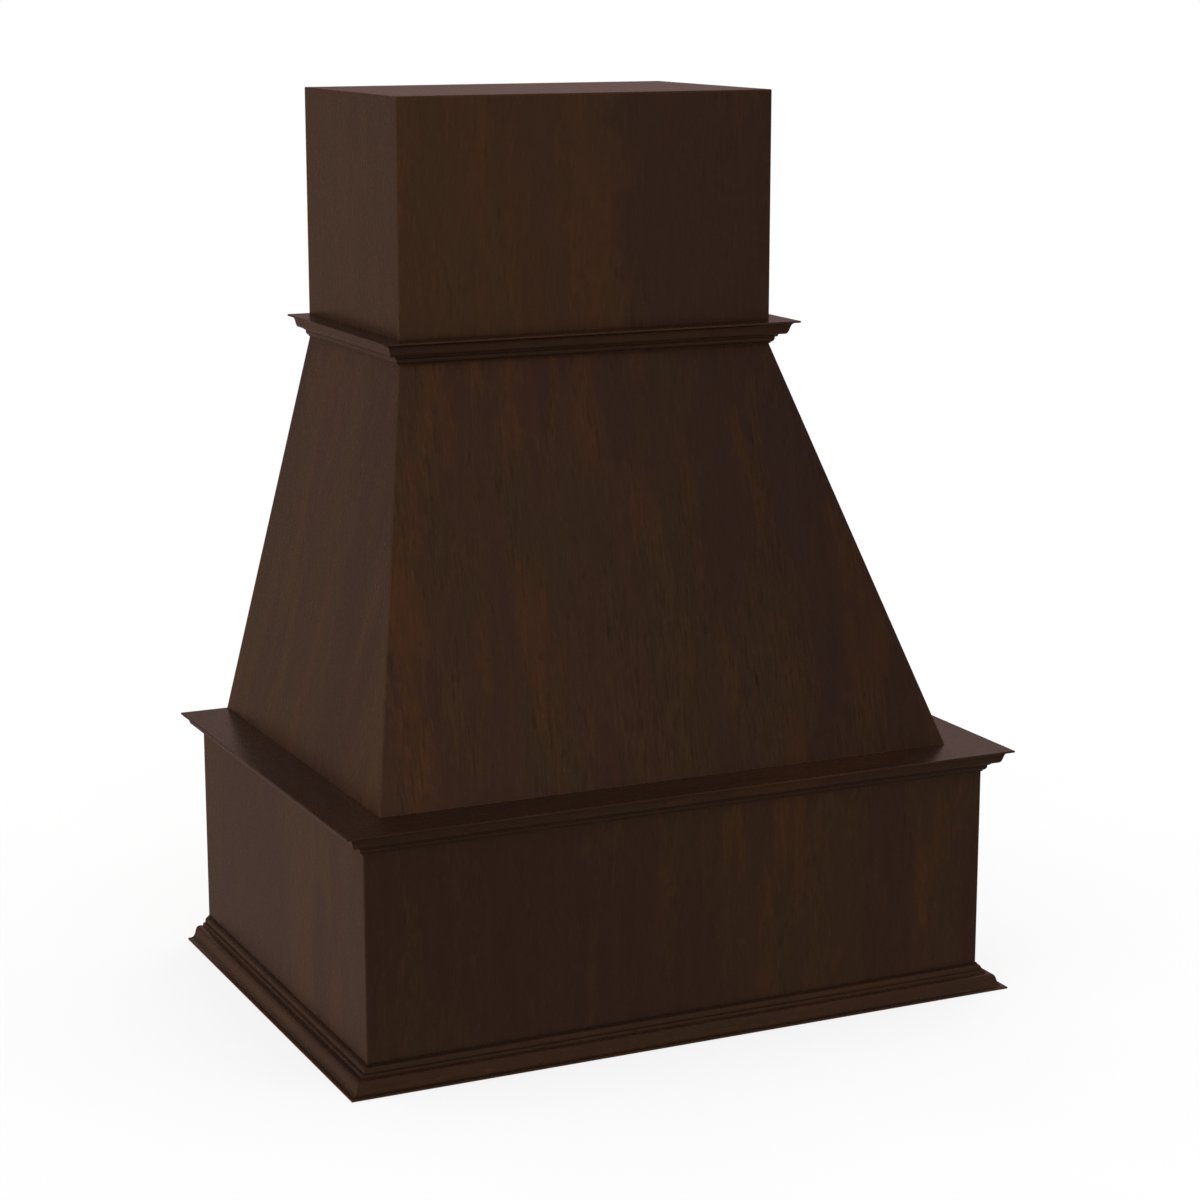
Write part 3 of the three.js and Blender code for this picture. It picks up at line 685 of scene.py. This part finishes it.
# ---------------------------------------------------------------- mouldings and ledge boards
# The one moulding section, [out from the face, distance from the wide edge]. A third entry of 1
# marks a crisp corner; the runs between crisp corners are curves.
SECTION = [
    (0.0, 0.0, 1),
    (27.1, 0.0, 1),
    (27.975, 0.0, 1),
    (28.40, 0.175, 0),
    (28.575, 0.6, 1),
    (28.575, 1.75, 1),
    (28.42, 2.15, 0),
    (28.05, 2.32, 1),
    (24.3, 2.62, 0),
    (22.6, 3.15, 0),
    (21.3, 4.1, 0),
    (20.3, 5.5, 0),
    (19.4, 7.6, 0),
    (18.65, 10.2, 0),
    (17.95, 12.6, 0),
    (17.1, 14.5, 0),
    (16.0, 15.85, 0),
    (14.6, 16.55, 0),
    (12.8, 16.8, 0),
    (10.6, 16.85, 1),
    (9.9, 16.35, 0),
    (9.1, 16.3, 0),
    (8.55, 16.9, 0),
    (8.45, 17.8, 1),
    (8.3, 18.8, 0),
    (7.8, 19.7, 0),
    (7.1, 20.2, 1),
    (6.6, 19.85, 0),
    (6.0, 19.85, 0),
    (5.45, 20.5, 0),
    (5.35, 21.4, 1),
    (5.3, 22.6, 0),
    (4.95, 24.0, 0),
    (4.2, 25.3, 0),
    (3.3, 26.3, 0),
    (2.6, 26.75, 1),
    (1.9, 26.85, 0),
    (1.5, 27.3, 1),
    (1.5, 28.575, 1),
    (0.0, 28.575, 1),
]
# Painted shade in the quirks, darker where shade falls: (out, distance from the wide edge, reach, how much darker).
PAINTED_QUIRK_SHADE = [(9.3, 16.5, 1.05, 0.46), (6.2, 20.1, 1.2, 0.85), (23.6, 2.8, 2.6, 0.26)]


def curved(section, steps=4):
    """Catmull-Rom through the runs between crisp corners. Returns (out, high, worn)."""
    out = []
    for i in range(len(section) - 1):
        p1, p2 = section[i], section[i + 1]
        if p1[2] and p2[2]:
            out.append((p1[0], p1[1], 1.0 if p1[2] else 0.0))
            continue
        p0 = section[i - 1] if not p1[2] else (2 * p1[0] - p2[0], 2 * p1[1] - p2[1])
        p3 = section[i + 2] if not p2[2] else (2 * p2[0] - p1[0], 2 * p2[1] - p1[1])
        for k in range(steps):
            t = k / steps
            q = []
            for c in (0, 1):
                a, b, d, e = p0[c], p1[c], p2[c], p3[c]
                q.append(
                    0.5 * (2 * b + (d - a) * t + (2 * a - 5 * b + 4 * d - e) * t * t + (3 * b - a - 3 * d + e) * t**3)
                )
            out.append((q[0], q[1], 1.0 if k == 0 and p1[2] else 0.0))
    out.append((section[-1][0], section[-1][1], 0.0))
    return out


def wrap(name, which, outline, segments, half, deep, mats, grain, nodes, grain_open=0.65):
    """A member round the front of a box: mitred in front, square at the wall.
    outline: (out from the face, height, worn, stain with painted shade)."""
    rings = []
    if which == "front":
        for s in (-1, 1):
            rings.append([(s * (half + u), WALL - deep - u, z) for u, z, *_ in outline])
    else:
        s = -1 if which == "left" else 1
        rings.append([(s * (half + u), WALL - deep - u, z) for u, z, *_ in outline])
        rings.append([(s * (half + u), WALL - KEEP, z) for u, z, *_ in outline])
        rings.append([(s * (half + u), WALL, z) for u, z, *_ in outline])
    wear, stain_and_painted_light = [], []
    for k, ring in enumerate(rings):
        wall_end = which != "front" and k == len(rings) - 1
        wear += [max(row[2], 0.8 if wall_end else 0.0) for row in outline]
        stain_and_painted_light += [row[3] for row in outline]
    verts, faces, mids = loft(rings, segments, (0, 0))
    return finish_mesh(name, verts, faces, mids, mats, wear, grain, nodes, 34.0, stain_and_painted_light, grain_open)


def run_along(which, offset):
    """Grain along the member: the same for a moulding and the board beside it, so that they match."""
    if which == "front":
        return lambda p: (p[1] + offset[0], p[2], p[0] + offset[1])
    return lambda p: (p[0] + offset[0], p[2], p[1] + offset[1])


mould = curved(SECTION)
# A moulding's wear sits on its lip and nose only.
mould = [
    (
        u,
        w,
        1.0 if worn and (u > 27.9 or abs(u - 10.6) < 0.1) and w > 0 or (u, w) == (27.975, 0.0) else 0.0,
    )
    for u, w, worn in mould
]


def stain(all_over, painted_shade_at_sheet, inside, lip):
    """Stain of each point of the section, with painted shade: all over, painted shade where it meets the
    sheet and in the quirks, and on the wide edge from the sheet to the lip."""
    out = []
    for u, w, worn in mould:
        # Painted shade in the quirks and along the foot where the moulding meets the sheet.
        spots = PAINTED_QUIRK_SHADE + [(1.7, 27.5, 2.0, painted_shade_at_sheet)]
        dark = sum(much * math.exp(-(((u - gu) ** 2 + (w - gw) ** 2) / reach**2)) for gu, gw, reach, much in spots)
        out.append(all_over - dark if w > 0.0 else inside + (lip - inside) * u / MOULD_HIGH)
    return out


for k, which in enumerate(("front", "left", "right")):
    # The second number of each stain call is the painted shade where the moulding meets the sheet.
    low = [(*row, dark) for row, dark in zip(mould, stain(0.0, 0.62, 0.0, 0.0))]
    ledge = [(u, LEDGE_TOP - w, worn * 0.7, dark) for (u, w, worn), dark in zip(mould, stain(-0.10, 0.12, -0.18, -0.30))]
    neck = [(u, NECK_Z + MOULD_HIGH - w, worn, dark) for (u, w, worn), dark in zip(mould, stain(0.0, 0.40, -0.30, -0.20))]
    rows = [0] * len(mould)
    grain_at = (2317.0 * k + 140.0, 1811.0 * k)
    wrap(f"base_{which}_mould", which, low, rows, BOX_HALF, BOX_DEEP, [SOLID],
         run_along(which, (grain_at[0] + 3100, grain_at[1])), [f"base_moulding_{which}"])
    ledge_wood = [LEDGE if which == "front" else SOLID]
    wrap(f"ledge_{which}_mould", which, ledge, rows, BOX_HALF, BOX_DEEP, ledge_wood,
         run_along(which, grain_at), [f"ledge_moulding_{which}"], 0.45)
    wrap(f"collar_{which}_mould", which, neck, rows, STACK_HALF, STACK_DEEP, [SOLID],
         run_along(which, (grain_at[0] + 6400, grain_at[1])), [f"collar_moulding_{which}"])
    board = [
        (0.0, LEDGE_TOP, 0.0, -0.18),
        (0.0, LEDGE_TOP - PLY, 0.0, 0.0),
        (-DECK + 0.5, LEDGE_TOP - PLY, 0.6, 0.0),
        (-DECK, LEDGE_TOP - PLY + 0.5, 0.6, 0.0),
        (-DECK, LEDGE_TOP - 0.5, 0.6, 0.0),
        (-DECK + 0.5, LEDGE_TOP, 0.6, -0.18),
        (-60.0, LEDGE_TOP, 0.0, -0.18),
    ]
    wrap(f"ledge_{which}_board", which, board, [0] * len(board), BOX_HALF, BOX_DEEP, ledge_wood,
         run_along(which, grain_at), [f"ledge_board_{which}"], 0.45)


# ---------------------------------------------------------------- chimney lid
def slab(name, x0, x1, y0, y1, z0, z1, ease, mats, grain, nodes):
    """A flat board with every outer edge eased, from rings of its outline."""
    rings, wear = [], []
    rows = [(z0, ease, 0.5)]
    rows += [(z0 + ease * (1 - math.cos(math.radians(30 * k))), ease * (1 - math.sin(math.radians(30 * k))), 1.0) for k in (1, 2, 3)]
    rows += [(z1 - ease * (1 - math.cos(math.radians(30 * k))), ease * (1 - math.sin(math.radians(30 * k))), 1.0) for k in (3, 2, 1)]
    rows += [(z1, ease, 0.8), (z1, ease + KEEP, 0.0)]
    for z, pull, w in rows:
        a, b, c, d = x0 + pull, x1 - pull, y0 + pull, y1 - pull
        rings.append([(a, c, z), (b, c, z), (b, d, z), (a, d, z)])
        wear += [w] * 4
    verts, faces, mids = loft(rings, [0] * 4, (1, 0))
    return finish_mesh(name, verts, faces, mids, mats, wear, grain, nodes, 40.0)


lid_in = STACK_HALF - PLY - 0.3
slab(
    "chimney_lid", -lid_in, lid_in, WALL - STACK_DEEP + PLY + 0.3, WALL, TOP_Z - PLY, TOP_Z, 0.35,
    [SKIN, PLYFACE], lambda p: (p[1] + 7730.0, p[2] - TOP_Z, p[0] + 410.0),
    ["chimney_top_panel"],
)


# ---------------------------------------------------------------- screws
def screw(name, node):
    """Square-drive countersunk screw with a cut thread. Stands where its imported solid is."""
    lo, hi = (Vector(c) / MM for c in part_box(node))
    size = hi - lo
    axis = max(range(3), key=lambda i: size[i])
    mid = (lo + hi) / 2
    # Driven away from the middle of the cover, or down.
    into = Vector((0, 0, 0))
    into[axis] = -1.0 if axis == 2 else math.copysign(1.0, mid[axis])
    head = mid.copy()
    head[axis] = lo[axis] if into[axis] > 0 else hi[axis]
    turn = Vector((0, 0, 1)).rotation_difference(into).to_matrix()
    n = 32
    rings = []

    def ring(radius, z):
        rings.append([(radius * math.cos(2 * math.pi * i / n), radius * math.sin(2 * math.pi * i / n), z) for i in range(n)])

    def square(half, z):
        pts = []
        for i in range(n):
            a = 2 * math.pi * i / n
            c, s = math.cos(a), math.sin(a)
            k = half / max(abs(c), abs(s))
            pts.append((k * c, k * s, z))
        rings.append(pts)

    square(1.12, 2.3)
    square(1.22, 0.35)
    square(1.38, 0.06)
    ring(3.2, 0.0)
    ring(3.95, 0.04)
    ring(4.2, 0.28)
    ring(4.2, 0.42)
    ring(2.2, 2.5)
    ring(1.95, 3.2)
    ring(1.95, 6.4)
    pitch, z = 2.3, 6.6
    while z < 25.0:
        grown = min(1.0, (z - 6.5) / 2.0) * min(1.0, (25.4 - z) / 4.0)
        core = 1.5 * (0.35 + 0.65 * min(1.0, (25.4 - z) / 3.2))
        loop = []
        for i in range(n):
            turns = (z / pitch - i / n) % 1.0
            lift = max(0.0, 1 - abs(turns - 0.5) / 0.22) * 0.6 * grown
            r = core + lift
            a = 2 * math.pi * i / n
            loop.append((r * math.cos(a), r * math.sin(a), z))
        rings.append(loop)
        z += pitch / 12
    ring(0.12, 25.35)
    rings = [[tuple(head + turn @ Vector(p)) for p in r] for r in rings]
    verts, faces, mids = loft(rings, [0] * n, (0, 0))
    return finish_mesh(name, verts, faces, mids, [ZINC], [0.0] * len(verts), lambda p: p, [node], 30.0)


for kind in ("ledger", "foot"):
    for place in ("front_a", "front_b", "left_a", "left_b", "right_a", "right_b"):
        screw(f"{kind}_{place}_driven", f"{kind}_screw_{place}")


# ---------------------------------------------------------------- hidden battens keep their solids
def dress(node, mat, ease=0.0007):
    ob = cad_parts[node]
    ob.data.materials.clear()
    ob.data.materials.append(mat)
    bevel = ob.modifiers.new("eased", "BEVEL")
    bevel.width = ease
    bevel.segments = 2
    bevel.limit_method = "ANGLE"
    bevel.angle_limit = math.radians(40)


X, Y, Z = (1, 0, 0), (0, 1, 0), (0, 0, 1)
run = NECK_Z - LEDGE_TOP
HIP = {
    "left": (FOOT_HALF - STACK_HALF, FOOT_DEEP - STACK_DEEP, run),
    "right": (STACK_HALF - FOOT_HALF, FOOT_DEEP - STACK_DEEP, run),
}
REAR = {"left": (FOOT_HALF - STACK_HALF, 0, run), "right": (STACK_HALF - FOOT_HALF, 0, run)}
for node in ("liner_ledger_front", "canopy_foot_cleat_front", "neck_cleat_front", "top_cleat_front"):
    dress(node, raw_wood(f"pine_{node}", X, (0.31 * len(node), 0.07, 0.4)))
for node in ("liner_ledger_back", "apron_wall_rail", "neck_wall_rail", "chimney_wall_rail"):
    dress(node, raw_wood(f"pine_{node}", X, (0.0, 0.05 * len(node), 1.1), 0.95))
for k, side in enumerate(("left", "right")):
    for node in (f"liner_ledger_{side}", f"canopy_foot_cleat_{side}", f"neck_cleat_{side}", f"top_cleat_{side}"):
        dress(node, raw_wood(f"pine_{node}", Y, (0.04 * len(node), 0.02 + 0.3 * k, 0.2)))
    for node in (f"apron_corner_block_{side}", f"chimney_corner_block_{side}"):
        dress(node, raw_wood(f"pine_{node}", Z, (0.03 * len(node), 0.2 * k, 0.0), 0.92))
    dress(f"hip_batten_{side}", raw_wood(f"pine_hip_batten_{side}", HIP[side], (0.11, 0.4 * k, 0.0)))
    dress(f"canopy_rear_batten_{side}", raw_wood(f"pine_canopy_rear_batten_{side}", REAR[side], (0.2, 0.1 + 0.3 * k, 0.0)))


# ================================================================ studio
def floor():
    """A large flat sheet, pale and matt, gently lit from below so that shadows stay light."""
    bm = bmesh.new()
    steps, reach = 12, 60.0
    grid = [[bm.verts.new(((i / steps - 0.5) * reach, (j / steps - 0.5) * reach, -0.0004)) for j in range(steps + 1)] for i in range(steps + 1)]
    for i in range(steps):
        for j in range(steps):
            bm.faces.new((grid[i][j], grid[i + 1][j], grid[i + 1][j + 1], grid[i][j + 1]))
    me = bpy.data.meshes.new("floor")
    bm.to_mesh(me)
    bm.free()
    m, n = material("pale_floor")
    here = n.add("ShaderNodeTexCoord").outputs["Object"]
    cloud = n.noise(here, (3.0, 3.0, 3.0), 3.0, 0.5)
    colour = n.mix(cloud, rgb(0.20, 0.20, 0.20), rgb(0.22, 0.22, 0.22))
    shader = n.surface(colour, 0.9, None, specular=0.0)
    shader.inputs["Emission Color"].default_value = (1, 1, 1, 1)
    shader.inputs["Emission Strength"].default_value = 0.77
    me.materials.append(m)
    ob = bpy.data.objects.new("floor", me)
    bpy.context.scene.collection.objects.link(ob)
    ob.visible_glossy = False
    ob.visible_diffuse = False
    ob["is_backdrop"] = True
    return ob


ground = floor()

world = bpy.data.worlds.new("studio")
bpy.context.scene.world = world
world.use_nodes = True
w = Nodes(world.node_tree)
path = w.add("ShaderNodeLightPath")
back = w.add("ShaderNodeBackground")
back.inputs["Color"].default_value = (1, 1, 1, 1)
back.inputs["Strength"].default_value = 1.0
# What shines in the satin coat: a dim warm room, brighter behind the cover and above it.
towards = w.add("ShaderNodeSeparateXYZ")
w.put(towards.inputs[0], w.add("ShaderNodeTexCoord").outputs["Generated"])
height = w.math("ADD", towards.outputs["Z"], 0.5, clamp=True)


def ramp(stops):
    node = w.add("ShaderNodeValToRGB")
    w.put(node.inputs[0], height)
    elements = node.color_ramp.elements
    for element, (at, colour) in ((elements[0], stops[0]), (elements[1], stops[-1])):
        element.position = at + 0.5
        element.color = rgb(*colour)
    for at, colour in stops[1:-1]:
        elements.new(at + 0.5).color = rgb(*colour)
    return node.outputs[0]


wall_side = ramp([
    (-0.30, (0.213, 0.146, 0.123)), (-0.06, (0.214, 0.136, 0.098)), (0.03, (0.216, 0.147, 0.135)),
    (0.10, (0.262, 0.176, 0.168)), (0.26, (0.400, 0.262, 0.235)),
])
room_side = ramp([(-0.10, (0.100, 0.073, 0.062)), (0.30, (0.150, 0.108, 0.095))])
behind = w.span(towards.outputs["Y"], -0.6, 0.6)
room = w.add("ShaderNodeBackground")
w.put(room.inputs["Color"], w.mix(behind, room_side, wall_side))
# Above the horizon the light comes from the right.
from_right = w.span(towards.outputs["X"], -0.25, 0.60, -0.65, 0.0)
overhead = w.span(towards.outputs["Z"], -0.04, 0.16)
w.put(room.inputs["Strength"], w.math("ADD", w.math("MULTIPLY", from_right, overhead), 1.0))
# What lights the cover all round, a little less from below.
fill = w.add("ShaderNodeBackground")
fill.inputs["Color"].default_value = (1.0, 0.985, 0.97, 1)
w.put(fill.inputs["Strength"], w.span(towards.outputs["Z"], -0.7, 0.2, 0.08, 0.13))
inner = w.add("ShaderNodeMixShader")
w.put(inner.inputs[0], path.outputs["Is Glossy Ray"])
w.put(inner.inputs[1], fill.outputs[0])
w.put(inner.inputs[2], room.outputs[0])
choose = w.add("ShaderNodeMixShader")
w.put(choose.inputs[0], path.outputs["Is Camera Ray"])
w.put(choose.inputs[1], inner.outputs[0])
w.put(choose.inputs[2], back.outputs[0])
out = w.add("ShaderNodeOutputWorld")
w.put(out.inputs["Surface"], choose.outputs[0])

on_floor = bpy.data.collections.new("lit_floor")
on_floor.objects.link(ground)
on_cover = bpy.data.collections.new("lit_cover")
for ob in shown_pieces():
    on_cover.objects.link(ob)


def sun(name, towards, level, spread, colour=(1, 1, 1), only=None, glossy=True):
    """Soft light from far away. towards points at the light; level is the brightness that it gives
    a white sheet facing it; spread is how wide it looks, in degrees."""
    data = bpy.data.lights.new(name, "SUN")
    data.energy = level * math.pi
    data.angle = math.radians(spread)
    data.color = colour
    ob = bpy.data.objects.new(name, data)
    ob.rotation_mode = "QUATERNION"
    ob.rotation_quaternion = Vector(towards).to_track_quat("Z", "Y")
    bpy.context.scene.collection.objects.link(ob)
    ob.visible_glossy = glossy
    if only is not None:
        ob.light_linking.receiver_collection = only
    return ob


sun("floor_light", (0.0, 0.0, 1.0), 1.0, 120, only=on_floor)
sun("key", (-0.48, -0.385, 0.09), 0.65, 55, (1.0, 0.985, 0.96), on_cover, False)
sun("right_fill", (0.95, 0.12, 0.03), 0.40, 50, (0.99, 0.99, 1.0), on_cover, False)
sun("back_fill", (0.10, 0.95, 0.05), 0.50, 50, (1.0, 0.99, 0.98), on_cover, False)

cam_data = bpy.data.cameras.new("camera")
cam_data.sensor_width = 36.0
cam_data.lens = 85.83
cam_data.clip_end = 100.0
camera = bpy.data.objects.new("camera", cam_data)
yaw, pitch = 0.44, 0.215
camera.location = (-1.4249, -3.0625, 1.200)
gaze = Vector((math.sin(yaw) * math.cos(pitch), math.cos(yaw) * math.cos(pitch), -math.sin(pitch)))
camera.rotation_mode = "QUATERNION"
camera.rotation_quaternion = gaze.to_track_quat("-Z", "Y")
bpy.context.scene.collection.objects.link(camera)
bpy.context.scene.camera = camera

view = bpy.context.scene.view_settings
view.view_transform = "Standard"
view.look = "None"
view.exposure = 0.0
view.gamma = 1.0
